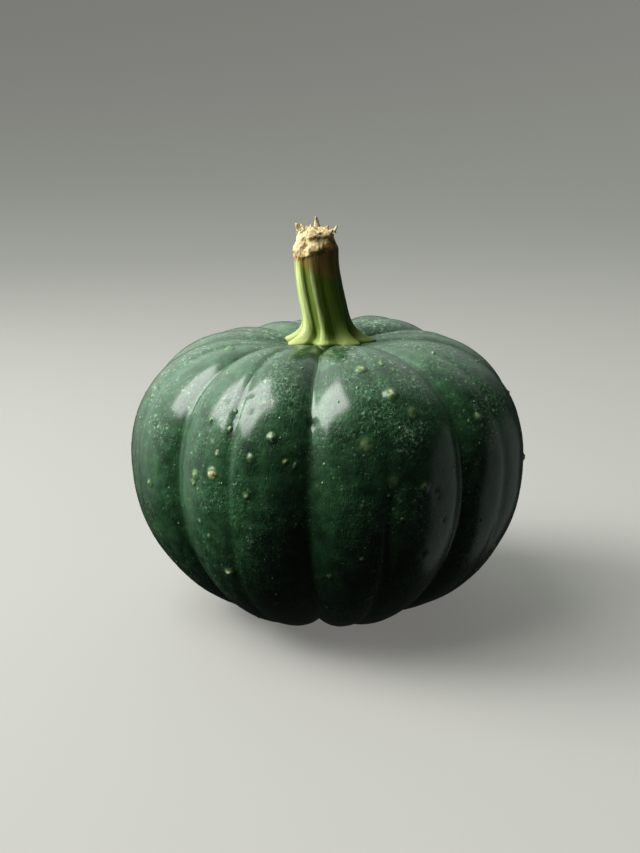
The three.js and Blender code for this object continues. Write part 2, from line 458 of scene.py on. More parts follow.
def wart_tree(settings, rind):
    """Warts on the rind: the larger ones where the seeds are, and smaller ones scattered."""
    shape = ShapeTree("Squash warts", {
        "Rind": rind,
        "Scattered per square metre": settings.wart_density,
        "Smallest width": 1.0 * MM,
        "Widest": 3.4 * MM,
        "Height of a 3 mm wart": 0.6 * MM,
        "Clear of the floor": 5 * MM,
        "Seed": 12,
    })
    given = shape.given
    wart, wart_width, wart_stand = (
        shape.field("GeometryNodeInputNamedAttribute", links={"Name": name})
        for name in ("wart", "wart_width", "wart_stand"))
    skin = shape.field("GeometryNodeObjectInfo", given("Rind"), output="Geometry", transform_space="RELATIVE")
    seed = given("Seed")
    spot = shape.field("GeometryNodeInputPosition")
    above = shape.add("ShaderNodeSeparateXYZ", spot)
    clear = Field(shape.tree, above.outputs["Z"]).math("GREATER_THAN", given("Clear of the floor"))
    scatter = shape.add("GeometryNodeDistributePointsOnFaces", skin, distribute_method="POISSON", links={
        "Distance Min": 3 * MM, "Density Max": given("Scattered per square metre"), "Density Factor": clear,
        "Seed": seed})
    size = shape.field("FunctionNodeRandomValue", output=1, data_type="FLOAT",
                       links={2: 0.0, 3: 1.0, "Seed": seed})
    width = given("Smallest width") + (given("Widest") - given("Smallest width")) * size ** 3
    tan = shape.field("FunctionNodeRandomValue", output=1, data_type="FLOAT",
                      links={2: -0.5, 3: 0.8, "Seed": seed + 1.0})
    small = scatter
    for name, value in (("wart_width", width), ("wart_tan", tan.clamped()), ("wart_stand", 0.7)):
        small = shape.add("GeometryNodeStoreNamedAttribute", small, data_type="FLOAT", domain="POINT",
                          links={"Name": name, "Value": value})
    large = shape.add("GeometryNodeMeshToPoints", given("Geometry"))
    spots = shape.add("GeometryNodeJoinGeometry")
    for source in (small, large):
        shape.tree.links.new(source.outputs[0], spots.inputs[0])

    # A wart starts as a flat disc that stores how far each of its points will bulge.
    dome = shape.add("GeometryNodeMeshCone", fill_type="NONE", links={
        "Vertices": 12, "Side Segments": 5, "Radius Top": 0.0, "Radius Bottom": 0.5, "Depth": 0.001})
    place = shape.field("GeometryNodeInputPosition")
    flat = shape.field("ShaderNodeVectorMath", place, (1.0, 1.0, 0.0), operation="MULTIPLY")
    from_middle = shape.field("ShaderNodeVectorMath", flat, operation="LENGTH", output="Value") * 2
    bulge = (1 - from_middle ** 2).clamped() ** 2.4
    domed = shape.add("GeometryNodeStoreNamedAttribute", dome, data_type="FLOAT", domain="POINT",
                      links={"Name": "wart", "Value": bulge})

    nearest = shape.field("GeometryNodeSampleNearestSurface", skin, shape.field("GeometryNodeInputNormal"),
                          data_type="FLOAT_VECTOR")
    turned = shape.field("FunctionNodeAlignRotationToVector", axis="Z", links={"Vector": nearest})
    stretch = shape.field("FunctionNodeRandomValue", data_type="FLOAT_VECTOR", output=0, links={
        0: (0.75, 0.95, 1.0), 1: (1.1, 1.5, 1.0), "Seed": seed})
    scale = shape.field("ShaderNodeVectorMath", stretch, operation="SCALE",
                        links={"Scale": wart_width})
    instances = shape.add("GeometryNodeInstanceOnPoints", spots, links={
        "Instance": domed, "Rotation": turned, "Scale": scale})
    real = shape.add("GeometryNodeRealizeInstances", instances)

    # Each wart is laid on the rind, and its dome stands on the rind's own curve.
    touch = shape.field("GeometryNodeProximity", skin, output="Position", target_element="FACES")
    roughness = shape.field("ShaderNodeTexNoise", links={"Scale": 1 / WART_CRUMB, "Detail": 2.0})
    bumpy = wart * (roughness * 3.2 - 0.6).math("MAXIMUM", 0.25)
    tallness = given("Height of a 3 mm wart") * (wart_width / (3 * MM)) ** 0.75 * wart_stand
    height = bumpy * tallness - 0.03 * MM
    stand = shape.field("ShaderNodeVectorMath", nearest, operation="SCALE", links={"Scale": height})
    on_rind = shape.field("ShaderNodeVectorMath", touch, stand, operation="ADD")
    laid = shape.add("GeometryNodeSetPosition", real, links={"Position": on_rind})
    toned = shape.add("GeometryNodeStoreNamedAttribute", laid, data_type="FLOAT", domain="POINT",
                      links={"Name": "wart", "Value": bumpy * (wart_stand * 0.7 + 0.3)})
    whole = shape.add("GeometryNodeJoinGeometry")
    for source in (toned.outputs[0], skin.socket):
        shape.tree.links.new(source, whole.inputs[0])
    shape.finish(whole)
    return shape


def make_fruit(settings):
    """The whole fruit: the ribbed body as one closed skin, with the domes of its warts on it."""
    rind_finish = waxy_rind(settings)
    blank = add_object("smooth_body", smooth_body())
    body = rib_tree(settings).apply(blank, "ribbed_body", rind_finish)
    bpy.context.view_layer.update()
    seeds = wart_seeds(body)
    fruit = wart_tree(settings, body).apply(seeds, "squash_fruit", rind_finish)
    bpy.data.objects.remove(body)
    return fruit


# ---------------------------------------------------------------- stem

STEM_FOOT_X = 1.2 * MM
STEM_LEAN = 5.4 * MM
STEM_LENGTH = 44.8 * MM
SHAFT_RADIUS = 8.3 * MM
SHAFT_TAPER = 0.2 * MM
RIDGE_HEIGHT = 1.4 * MM
FOOT_RADIUS = 11.6 * MM
TOE_REACH = 6.6 * MM
CORK_HEIGHT = 8.5 * MM
CORK_OVERHANG = 0.2 * MM
CORK_SLANT = 3.6 * MM
COLUMNS_PER_RIDGE = 26
FOOT_ROWS = 10
TOE_ROWS = 4
SHAFT_ROWS = 126
CAP_ROWS = 26
CAP_HEIGHT = 3.2 * MM
STEM_GAP = 0.15 * MM

# The stem leans between these heights above the crown.
LEAN_HEIGHTS = (-3 * MM, 34 * MM)

# The foot's flare dies away this high, in a groove and how much more on a ridge.
FLARE_HEIGHT = 1.4 * MM
RIDGE_FLARE_HEIGHT = 2.3 * MM
FLARE_EXPONENT = 1.35
FOOT_ROUNDING = 0.5 * MM

# Ridges are worn down by this share on the way up, and the end is drawn in over its last stretch.
RIDGE_WEAR = 0.55
WEAR_STARTS = 16 * MM
END_DRAWN_IN = 1.9 * MM
END_STRETCH = 5 * MM

# Ridges of the stem: azimuth, how high the ridge stands, how broad its top is, how far its toe
# reaches and how pale it is. The low paleness of the ridges at 44 and 92 degrees, on the side
# away from the key light, is painted shade.
RIDGES = (
    {"azimuth": -58, "height": 0.9, "breadth": 2.2, "toe": 1.0, "pale": 1.0},
    {"azimuth": -12, "height": 0.75, "breadth": 0.8, "toe": 0.5, "pale": 0.66},
    {"azimuth": 44, "height": 0.6, "breadth": 1.2, "toe": 0.65, "pale": 0.34},
    {"azimuth": 92, "height": 0.7, "breadth": 1.4, "toe": 1.0, "pale": 0.25},
    {"azimuth": 132, "height": 0.9, "breadth": 1.0, "toe": 0.8, "pale": 0.6},
    {"azimuth": 170, "height": 1.1, "breadth": 1.3, "toe": 0.7, "pale": 0.9},
    {"azimuth": 212, "height": 0.8, "breadth": 0.8, "toe": 0.9, "pale": 0.7},
    {"azimuth": 254, "height": 0.9, "breadth": 1.4, "toe": 1.0, "pale": 0.9},
)

# Torn splinters of the stem's end: azimuth, distance from the stem's axis and length in mm, and how
# far each leans outwards.
SPLINTERS = (
    (-80, 6.4, 2.5, 0.4), (-58, 5.2, 1.2, 0.3), (20, 0.6, 3.6, 0.0), (-40, 2.4, 1.6, 0.2),
    (60, 4.6, 1.4, 0.3), (76, 7.2, 1.7, 0.4), (50, 7.4, 1.2, 0.6), (170, 5.0, 2.0, 0.3),
    (235, 6.0, 1.6, 0.5),
)


# A splinter's root is sunk this far into the end.
SPLINTER_SINK = 0.2 * MM


def ridge_columns():
    """Azimuth of every stem column, how near it is to a ridge, and that ridge's height, toe and paleness."""
    step = np.arange(COLUMNS_PER_RIDGE) / COLUMNS_PER_RIDGE
    starts = np.array([ridge["azimuth"] for ridge in RIDGES], float)
    ends = np.append(starts[1:], starts[0] + 360)
    azimuth = (starts[:, None] + step[None, :] * (ends - starts)[:, None]).ravel()

    def of_nearest_ridge(key):
        own = np.array([ridge[key] for ridge in RIDGES], float)
        return np.where(step < 0.5, own[:, None], np.roll(own, -1)[:, None]).ravel()

    wave = np.tile(0.5 + 0.5 * np.cos(2 * np.pi * step), len(RIDGES))
    nearness = wave ** (0.8 / of_nearest_ridge("breadth"))
    return azimuth, nearness, *[of_nearest_ridge(key) * nearness for key in ("height", "toe", "pale")]


def rind_height(rind, points):
    """Height of the rind straight under these points."""
    heights = []
    for x, y in points:
        hit, place, _, _ = rind.ray_cast(Vector((x, y, 1.0)), Vector((0, 0, -1)))
        if not hit:
            raise RuntimeError("the stem's foot hangs past the rind")
        heights.append(place.z)
    return np.array(heights)


def bridged(edge):
    """Heights of the foot's upper edge: it follows the rind but fills the grooves between lobes."""
    span = COLUMNS_PER_RIDGE // 2
    turns = range(-span, span + 1)
    highest = np.max([np.roll(edge, turn) for turn in turns], axis=0)
    return np.maximum(np.mean([np.roll(highest, turn) for turn in turns], axis=0), edge)


def smooth_stem(rind):
    """The stem before its bark: a foot laid on the crown, a ribbed leaning shaft and a torn end."""
    azimuth, ridge, ridge_height, toe, pale = ridge_columns()
    top = CROWN + STEM_LENGTH
    foot = FOOT_RADIUS + TOE_REACH * toe

    def lean(height):
        return STEM_FOOT_X - STEM_LEAN * smooth_between(*LEAN_HEIGHTS, height - CROWN)

    rows = []
    for row in range(1, FOOT_ROWS + 1):
        ring = around_axis(azimuth, foot * row / FOOT_ROWS, 0)
        ring[:, 0] += lean(CROWN)
        ring[:, 2] = rind_height(rind, ring[:, :2]) + STEM_GAP
        rows.append(ring)
    edge = rows[-1][:, 2]
    level = bridged(edge)
    middle = [lean(CROWN), 0, rind_height(rind, [(lean(CROWN), 0)])[0] + STEM_GAP]

    shaft_top = top - CAP_HEIGHT
    cork_foot = top - CORK_HEIGHT + CORK_SLANT * np.sin(np.radians(azimuth))
    for row in range(1 - TOE_ROWS, SHAFT_ROWS + 1):
        if row <= 0:
            height = edge + (level - edge) * (row + TOE_ROWS) / TOE_ROWS
        else:
            height = level + (shaft_top - level) * (row / SHAFT_ROWS) ** 1.25
        above = np.maximum(height - level, 0)
        bare = SHAFT_RADIUS - SHAFT_TAPER * (height - CROWN) / STEM_LENGTH
        worn = 1 - RIDGE_WEAR * smooth_between(CROWN + WEAR_STARTS, cork_foot, height)
        bare = bare + RIDGE_HEIGHT * ridge_height * worn
        flare_height = FLARE_HEIGHT + RIDGE_FLARE_HEIGHT * ridge
        flare = (foot - bare) * np.exp(-(above / flare_height) ** FLARE_EXPONENT)
        rounded_edge = FOOT_ROUNDING * np.sin(np.clip(above / (1.6 * MM), 0, 1) * np.pi)
        overhang = CORK_OVERHANG * smooth_between(cork_foot - 0.6 * MM, cork_foot + 1.2 * MM, height)
        shoulder = END_DRAWN_IN * smooth_between(shaft_top - END_STRETCH, shaft_top, height)
        ring = around_axis(azimuth, bare + flare + rounded_edge + overhang - shoulder, 0)
        ring[:, 0] += lean(height)
        ring[:, 2] = height
        rows.append(ring)
    rim = np.hypot(rows[-1][:, 0] - lean(top), rows[-1][:, 1])
    for row in range(1, CAP_ROWS):
        turn = row / CAP_ROWS * math.pi / 2
        ring = around_axis(azimuth, rim * math.cos(turn) ** 0.7, 0)
        ring[:, 0] += lean(top)
        ring[:, 2] = shaft_top + (top - shaft_top) * math.sin(turn)
        rows.append(ring)
    rings = np.stack(rows)
    tip = [lean(top), 0, top]
    mesh = closed_lathe("smooth_stem", rings, middle, tip)

    def per_vertex(values):
        return np.append(np.broadcast_to(values, rings.shape[:2]).ravel(), [0, 0])

    climb = np.append(rings[:, :, 2].ravel(), [middle[2], tip[2]]) - CROWN
    turn = around_axis(azimuth, SHAFT_RADIUS, 0)
    cap = np.zeros(rings.shape[:2])
    cap[-(CAP_ROWS - 1):] = 1
    set_attribute(mesh, "climb", climb)
    set_attribute(mesh, "ridge", per_vertex(ridge))
    set_attribute(mesh, "pale", per_vertex(pale))
    set_attribute(mesh, "grain", np.stack([per_vertex(turn[:, 0]), per_vertex(turn[:, 1]), climb], axis=-1))
    set_attribute(mesh, "cap", np.append(cap.ravel(), [0, 1]))
    return mesh


def splinter_seeds():
    """A point for each torn splinter, with its length and the way it leans."""
    rim = SHAFT_RADIUS + RIDGE_HEIGHT
    places, lengths, leans = [], [], []
    for azimuth, reach, length, lean in SPLINTERS:
        outward = around_axis(azimuth, 1.0, 0.0)
        place = outward * reach * MM
        place[0] += STEM_FOOT_X - STEM_LEAN
        fall = 1 - min(reach * MM / rim, 0.98) ** 2
        place[2] = CROWN + STEM_LENGTH - SPLINTER_SINK - CAP_HEIGHT * (1 - math.sqrt(fall))
        places.append(place)
        lengths.append(length * MM)
        leans.append(outward * lean + np.array([0, 0, 1.0]))
    mesh = bpy.data.meshes.new("splinter_seeds")
    mesh.from_pydata([tuple(place) for place in places], [], [])
    set_attribute(mesh, "splinter_length", lengths)
    set_attribute(mesh, "splinter_lean", np.array(leans))
    return add_object("splinter_seeds", mesh)


# Real sizes of the stem's marks: raggedness of the cork's edge, bundles of fibres, and crumbs.
CORK_EDGE_SIZE = 6 * MM
FIBRE_BUNDLE = 1.8 * MM
CRUMB = 1.6 * MM


def bark_tree(settings, seeds):
    """Fibres along the shaft, corky lumps at the torn end, and splinters and fibres standing out of it."""
    shape = ShapeTree("Stem bark", {
        "Splinters": seeds,
        "Fibre relief": 0.25 * MM,
        "Cork relief": settings.cork_relief,
        "Cork starts at": STEM_LENGTH - CORK_HEIGHT,
        "Cork wander": 4 * MM,
        "Cork lump size": 5 * MM,
        "Loose fibres per square metre": 420000.0,
        "Fibre length": 2.2 * MM,
        "Seed": 4,
    })
    given = shape.given
    climb, cap, length = (
        shape.field("GeometryNodeInputNamedAttribute", links={"Name": name})
        for name in ("climb", "cap", "splinter_length"))
    grain, lean = (
        shape.field("GeometryNodeInputNamedAttribute", data_type="FLOAT_VECTOR", links={"Name": name})
        for name in ("grain", "splinter_lean"))
    position = shape.field("GeometryNodeInputPosition")
    normal = shape.field("GeometryNodeInputNormal")
    ragged = shape.field("ShaderNodeTexNoise", links={
        "Vector": position, "Scale": 1 / CORK_EDGE_SIZE, "Detail": 2.0})
    sideways = shape.field("ShaderNodeSeparateXYZ", grain)
    level = climb - sideways * (CORK_SLANT / SHAFT_RADIUS)
    cork = shape.field("ShaderNodeMapRange", level + (ragged - 0.5) * given("Cork wander"),
                       given("Cork starts at") - 1.2 * MM, given("Cork starts at") + 0.8 * MM,
                       interpolation_type="SMOOTHSTEP")
    off_foot = shape.field("ShaderNodeMapRange", climb, 2.5 * MM, 6 * MM, interpolation_type="SMOOTHSTEP")
    along = shape.field("ShaderNodeVectorMath", grain, (1.0, 1.0, 0.1), operation="MULTIPLY")
    fibres = shape.field("ShaderNodeTexNoise", links={
        "Vector": along, "Scale": 1 / FIBRE_BUNDLE, "Detail": 2.0})
    lumps = shape.field("ShaderNodeTexNoise", noise_dimensions="4D", links={
        "Vector": position, "W": 2.0, "Scale": given("Cork lump size") ** -1.0, "Detail": 3.0,
        "Roughness": 0.5})
    push = (fibres - 0.5) * given("Fibre relief") * 2 * off_foot
    push = push + (lumps - 0.48) * given("Cork relief") * 4 * cork
    offset = shape.field("ShaderNodeVectorMath", normal, operation="SCALE", links={"Scale": push})
    moved = shape.add("GeometryNodeSetPosition", given("Geometry"), links={"Offset": offset})
    bark = moved
    for name, value in (("hollow", lumps), ("cork", cork)):
        bark = shape.add("GeometryNodeStoreNamedAttribute", bark, data_type="FLOAT", domain="POINT",
                         links={"Name": name, "Value": value})

    # Loose ends: thin tapered fibres that stand out of the torn end, leaning every way.
    fibre = shape.add("GeometryNodeMeshCone", fill_type="NGON", links={
        "Vertices": 5, "Side Segments": 2, "Radius Top": 0.03, "Radius Bottom": 0.16, "Depth": 1.0})
    for name, value in (("cork", 1.0), ("hollow", 0.85)):
        fibre = shape.add("GeometryNodeStoreNamedAttribute", fibre, data_type="FLOAT", domain="POINT",
                          links={"Name": name, "Value": value})
    scatter = shape.add("GeometryNodeDistributePointsOnFaces", bark, links={
        "Density": given("Loose fibres per square metre") * cap, "Seed": given("Seed")})
    sway = shape.field("FunctionNodeRandomValue", data_type="FLOAT_VECTOR", output=0, links={
        0: (-0.8, -0.8, 0.3), 1: (0.8, 0.8, 1.0), "Seed": given("Seed") + 3.0})
    turned = shape.field("FunctionNodeAlignRotationToVector", axis="Z", links={"Vector": sway})
    chance = shape.field("FunctionNodeRandomValue", output=1, data_type="FLOAT", links={
        2: 0.2, 3: 1.0, "Seed": given("Seed") + 6.0})
    size = shape.field("ShaderNodeCombineXYZ", 1.0 * MM, 1.0 * MM, given("Fibre length") * chance ** 2)
    loose = shape.add("GeometryNodeInstanceOnPoints", scatter, links={
        "Instance": fibre, "Rotation": turned, "Scale": size})

    # Splinters: thick at the root, notched and bent like torn wood.
    tooth = shape.add("GeometryNodeMeshCone", fill_type="NGON", links={
        "Vertices": 9, "Side Segments": 8, "Radius Top": 0.12, "Radius Bottom": 0.5, "Depth": 1.0})
    for name, value in (("cork", 1.0), ("hollow", 0.8)):
        tooth = shape.add("GeometryNodeStoreNamedAttribute", tooth, data_type="FLOAT", domain="POINT",
                          links={"Name": name, "Value": value})
    roots = shape.field("GeometryNodeObjectInfo", given("Splinters"), output="Geometry",
                        transform_space="RELATIVE")
    points = shape.add("GeometryNodeMeshToPoints", roots)
    upright = shape.field("FunctionNodeAlignRotationToVector", axis="Z", links={"Vector": lean})
    girth = shape.field("ShaderNodeCombineXYZ", length * 0.5 + 1.3 * MM, length * 0.25 + 1.0 * MM,
                        length * 1.3)
    standing = shape.add("GeometryNodeInstanceOnPoints", points, links={
        "Instance": tooth, "Rotation": upright, "Scale": girth})
    real = shape.add("GeometryNodeRealizeInstances", standing)
    tear = shape.field("ShaderNodeTexNoise", output="Color", links={
        "Vector": position, "Scale": 1 / CRUMB, "Detail": 2.0})
    shake = shape.field("ShaderNodeVectorMath", tear, (0.5, 0.5, 0.5), operation="SUBTRACT")
    bent = shape.add("GeometryNodeSetPosition", real, links={
        "Offset": shape.field("ShaderNodeVectorMath", shake, operation="SCALE", links={"Scale": 1.8 * MM})})

    whole = shape.add("GeometryNodeJoinGeometry")
    for source in (loose, bent, bark):
        shape.tree.links.new(source.outputs[0], whole.inputs[0])
    shape.finish(whole)
    return shape


def make_stem(settings, rind):
    blank = add_object("smooth_stem", smooth_stem(rind))
    seeds = splinter_seeds()
    bpy.context.view_layer.update()
    stem = bark_tree(settings, seeds).apply(blank, "squash_stem", fibrous_stalk(settings))
    bpy.data.objects.remove(seeds)
    return stem


# ---------------------------------------------------------------- finishes

class Finish:
    """A material and its node tree. set() feeds one of the surface's inputs with a pattern."""

    def __init__(self, name, ior, **even):
        self.material = bpy.data.materials.new(name)
        self.material.use_nodes = True
        self.tree = self.material.node_tree
        self.surface = self.tree.nodes["Principled BSDF"]
        self.surface.inputs["IOR"].default_value = ior
        for label, value in even.items():
            self.surface.inputs[label.replace("_", " ").title().replace("Ior", "IOR")].default_value = value

    def field(self, kind, *values, output=0, links=None, **settings):
        wired = {key: plain([value])[0] for key, value in (links or {}).items()}
        node = add_node(self.tree, kind, *plain(values), links=wired, **settings)
        return Field(self.tree, node.outputs[output])

    def set(self, label, value):
        self.tree.links.new(value.socket, self.surface.inputs[label])


# Real sizes of the rind's marks, in metres.
BROAD_MOTTLE = 20 * MM
FINE_MOTTLE = 4 * MM
FLECK_SPACING = 2.6 * MM
SPECK = 1.15 * MM
CROWDING = 16 * MM
STEM_BLOOM = (14 * MM, 38 * MM)
RAGGEDNESS = 0.9 * MM
WEAR_PATCH = 6 * MM
PEBBLE = 1.3 * MM
PIT_SPACING = 7 * MM
WRINKLE = 2.2 * MM


def waxy_rind(settings):
    """Waxy rind, grown: dark mottled green skin with pale flecks and corky warts under a thin clear wax.

    The skin itself spreads light widely, which gives the soft green bloom round a highlight. The wax
    on it gives the small sharper highlight.
    """
    finish = Finish("waxy_dark_green_rind", 1.45, coat_roughness=0.2, coat_ior=1.6,
                    specular_tint=settings.bloom_green)
    field = finish.field
    smooth = {"interpolation_type": "SMOOTHSTEP"}
    mix = {"data_type": "RGBA", "output": "Result"}
    place = field("ShaderNodeTexCoord", output="Object")
    wart = field("ShaderNodeAttribute", output="Fac", attribute_name="wart")
    tan = field("ShaderNodeAttribute", output="Fac", attribute_name="wart_tan")
    grain = field("ShaderNodeAttribute", output="Vector", attribute_name="grain")
    crest = field("ShaderNodeAttribute", output="Fac", attribute_name="crest")

    # Near the stem the wax is thin and the flecks stand close together.
    flat = field("ShaderNodeVectorMath", place, (1.0, 1.0, 0.0), operation="MULTIPLY")
    from_axis = field("ShaderNodeVectorMath", flat, operation="LENGTH", output="Value")
    by_stem = 1 - field("ShaderNodeMapRange", from_axis, *STEM_BLOOM, **smooth)

    # Green in two depths, mottled broadly and finely.
    broad = field("ShaderNodeTexNoise", links={"Vector": place, "Scale": 1 / BROAD_MOTTLE, "Detail": 2.0})
    fine = field("ShaderNodeTexNoise", links={"Vector": place, "Scale": 1 / FINE_MOTTLE, "Detail": 4.0})
    depth = field("ShaderNodeMapRange", broad * 0.4 + fine * 0.6, 0.3, 0.7, **smooth)
    skin = field("ShaderNodeMix", links={
        "Factor": depth, "A": settings.deep_green, "B": settings.leaf_green}, **mix)

    # Flecks: one of about 0.7 mm in most cells, ragged, and crowded together in patches.
    ragged = field("ShaderNodeTexNoise", output="Color", links={"Vector": place, "Scale": 1 / RAGGEDNESS})
    shaken = field("ShaderNodeVectorMath", ragged, (RAGGEDNESS,) * 3, operation="MULTIPLY")
    loosened = field("ShaderNodeVectorMath", place, shaken, operation="ADD")
    cell = {"Vector": loosened, "Scale": 1 / FLECK_SPACING}
    away = field("ShaderNodeTexVoronoi", links=cell)
    luck = field("ShaderNodeSeparateColor", field("ShaderNodeTexVoronoi", output="Color", links=cell))
    patches = field("ShaderNodeTexNoise", links={"Vector": place, "Scale": 1 / CROWDING, "Detail": 3.0})
    crowd = patches + crest * 0.16 + by_stem * 0.1 - 0.075
    reach = luck * 0.24 + (crowd - 0.5) * 0.8 - 0.02
    specks = field("ShaderNodeTexNoise", links={
        "Vector": place, "Scale": 1 / SPECK, "Detail": 3.0, "Roughness": 0.65})
    fleck = field("ShaderNodeMapRange", reach - away, -0.1, 0.14, **smooth) * 0.7
    fleck = fleck + field("ShaderNodeMapRange", specks + (crowd - 0.5) * 0.45, 0.57, 0.72, **smooth) * 0.6
    skin = field("ShaderNodeMix", links={"Factor": fleck * 0.8, "A": skin, "B": settings.fleck_green}, **mix)

    # Pits and sunk scars, darkened inside as painted shade, and the warts, which turn from green to tan as
    # they grow old.
    pit_away = field("ShaderNodeTexVoronoi", links={"Vector": loosened, "Scale": 1 / PIT_SPACING})
    pit = field("ShaderNodeMapRange", pit_away, 0.02, 0.075, **smooth)
    scar = field("ShaderNodeAttribute", output="Fac", attribute_name="scar")
    sunk = ((1 - pit) * 0.7).math("MAXIMUM", scar * 0.9)
    skin = field("ShaderNodeMix", links={"Factor": sunk, "A": skin, "B": settings.pit_shade_green}, **mix)
    skirt = field("ShaderNodeMapRange", wart + (fine - 0.5) * 0.4, 0.08, 0.7, **smooth) * 0.75
    skin = field("ShaderNodeMix", links={"Factor": skirt, "A": skin, "B": settings.wart_green}, **mix)
    tip = field("ShaderNodeMapRange", wart + (specks - 0.5) * 0.8 + (tan - 0.3) * 0.35, 0.6, 1.1, **smooth)
    aged = field("ShaderNodeMix", links={
        "Factor": tan, "A": settings.fleck_green, "B": settings.wart_tan}, **mix)
    finish.set("Base Color", field("ShaderNodeMix", links={"Factor": tip, "A": skin, "B": aged}, **mix))

    wear = field("ShaderNodeTexNoise", links={"Vector": place, "Scale": 1 / WEAR_PATCH, "Detail": 4.0})
    waxed = (1 - (wart * 0.85).math("MAXIMUM", scar * 0.9)).clamped() * (1 - by_stem * 0.8)
    finish.set("Coat Weight", waxed * settings.wax)
    finish.set("Roughness", wear * 0.25 + fleck * 0.1 + wart * 0.12 + 0.34)

    # Relief: pebbles, flecks a little proud, sunk pits and long wrinkles, more in some patches.
    along = field("ShaderNodeVectorMath", grain, (1.0, 1.0, 0.3), operation="MULTIPLY")
    wrinkles = field("ShaderNodeTexNoise", links={"Vector": along, "Scale": 1 / WRINKLE, "Detail": 3.0})
    crack = field("ShaderNodeMapRange", (wrinkles - 0.5).math("ABSOLUTE"), 0.0, 0.03, **smooth)
    pebbles = field("ShaderNodeTexVoronoi", feature="SMOOTH_F1", links={
        "Vector": loosened, "Scale": 1 / PEBBLE, "Smoothness": 0.6})
    patch = field("ShaderNodeMapRange", crowd, 0.38, 0.62, **smooth)
    relief = (1 - pebbles) * (patch * 0.9 + crest * 0.8 + 0.15) + fleck * 0.45 + pit * 0.9
    relief = relief + (wrinkles * 1.4 + crack * 0.7) * (patch * 0.5 + 0.5)
    finish.set("Normal", field("ShaderNodeBump", links={
        "Strength": 0.8, "Distance": 0.28 * MM, "Height": relief}))
    return finish.material


# Real sizes of the stalk's marks, in metres.
STREAK = 1.5 * MM
FIBRE = 0.5 * MM
BLOTCH = 5 * MM


def fibrous_stalk(settings):
    """Woody fruit stalk, grown and then dried: matt, pale along its ridges and green between them.

    Where it was torn off it ends in cream cork, brown in its hollows and on its lower right, partly as
    painted shade.
    """
    finish = Finish("fibrous_green_stalk", 1.45, specular_ior_level=0.25)
    field = finish.field
    smooth = {"interpolation_type": "SMOOTHSTEP"}
    mix = {"data_type": "RGBA", "output": "Result"}
    place = field("ShaderNodeTexCoord", output="Object")
    ridge = field("ShaderNodeAttribute", output="Fac", attribute_name="ridge")
    climb = field("ShaderNodeAttribute", output="Fac", attribute_name="climb")
    cork = field("ShaderNodeAttribute", output="Fac", attribute_name="cork")
    hollow = field("ShaderNodeAttribute", output="Fac", attribute_name="hollow")
    grain = field("ShaderNodeAttribute", output="Vector", attribute_name="grain")

    along = field("ShaderNodeVectorMath", grain, (1.0, 1.0, 0.08), operation="MULTIPLY")
    streaks, fibres, blotch, crumbs = (
        field("ShaderNodeTexNoise", links={"Vector": pattern, "Scale": 1 / size, "Detail": detail})
        for pattern, size, detail in (
            (along, STREAK, 3.0), (along, FIBRE, 2.0), (place, BLOTCH, 3.0), (place, CRUMB, 4.0)))
    # Paler along the ridges and their toes as the stalk's own colour; the darker right-facing ridges and toes
    # are painted shade.
    paleness_with_painted_shade = field("ShaderNodeAttribute", output="Fac", attribute_name="pale")
    streaked = paleness_with_painted_shade + (streaks - 0.5) * 1.1 + (fibres - 0.5) * 0.5
    pale = field("ShaderNodeMapRange", streaked, 0.35, 0.95, **smooth)
    stalk = field("ShaderNodeMix", links={
        "Factor": pale, "A": settings.stalk_green, "B": settings.ridge_green}, **mix)
    foot = field("ShaderNodeMapRange", climb * -1.0 + (blotch - 0.5) * 5 * MM, -7 * MM, -1 * MM, **smooth)
    stalk = field("ShaderNodeMix", links={
        "Factor": (foot * (paleness_with_painted_shade * 0.6 + ridge * 0.15 + (blotch - 0.4) * 1.2)).clamped(),
        "A": stalk, "B": settings.foot_green}, **mix)

    # Below the cork the stalk has dried brown, and the brown reaches lower on the right side as painted
    # shade. The cork itself is brown on its lower right, which is painted shade.
    sideways = field("ShaderNodeSeparateXYZ", grain)
    dried_and_painted_shade = field("ShaderNodeMapRange", climb + sideways * 0.35 + (blotch - 0.5) * 7 * MM,
                   STEM_LENGTH - 20 * MM, STEM_LENGTH - 11 * MM, **smooth)
    stalk = field("ShaderNodeMix", links={
        "Factor": dried_and_painted_shade * (1 - pale * 0.5), "A": stalk, "B": settings.dried_and_shade_brown}, **mix)
    # Painted light and shade on the cork: cream towards its top and left, brown on its lower right; the brown
    # in its hollows is partly painted shade.
    cork_painted_light = field("ShaderNodeMapRange", climb - sideways * 0.55 + (blotch - 0.5) * 6 * MM,
                   STEM_LENGTH - 9 * MM, STEM_LENGTH - 4 * MM, **smooth)
    bleached_and_painted_light = hollow * 0.8 + (crumbs - 0.5) * 0.5 + cork_painted_light * 0.2
    cream = field("ShaderNodeMapRange", bleached_and_painted_light, 0.34, 0.58, **smooth)
    dry = field("ShaderNodeMix", links={
        "Factor": cream, "A": settings.cork_brown_and_shade, "B": settings.cork_cream}, **mix)
    finish.set("Base Color", field("ShaderNodeMix", links={"Factor": cork, "A": stalk, "B": dry}, **mix))
    finish.set("Roughness", cork * 0.3 + streaks * 0.2 + 0.5)
    finish.set("Normal", field("ShaderNodeBump", links={
        "Strength": 0.8, "Distance": 0.35 * MM, "Height": streaks * 0.8 + fibres * 0.5 + crumbs * cork}))
    return finish.material


# Strength of the light that the paper gives of itself.
PAPER_GLOW = 0.7


def studio_paper(settings):
    """Seamless studio paper, rolled from matt pulp and lit a little from behind, so that it stays pale."""
    finish = Finish("matt_studio_paper", 1.45, base_color=settings.paper_grey, roughness=0.95,
                    specular_ior_level=0.1, emission_color=settings.paper_grey, emission_strength=PAPER_GLOW)
    return finish.material


# ---------------------------------------------------------------- studio

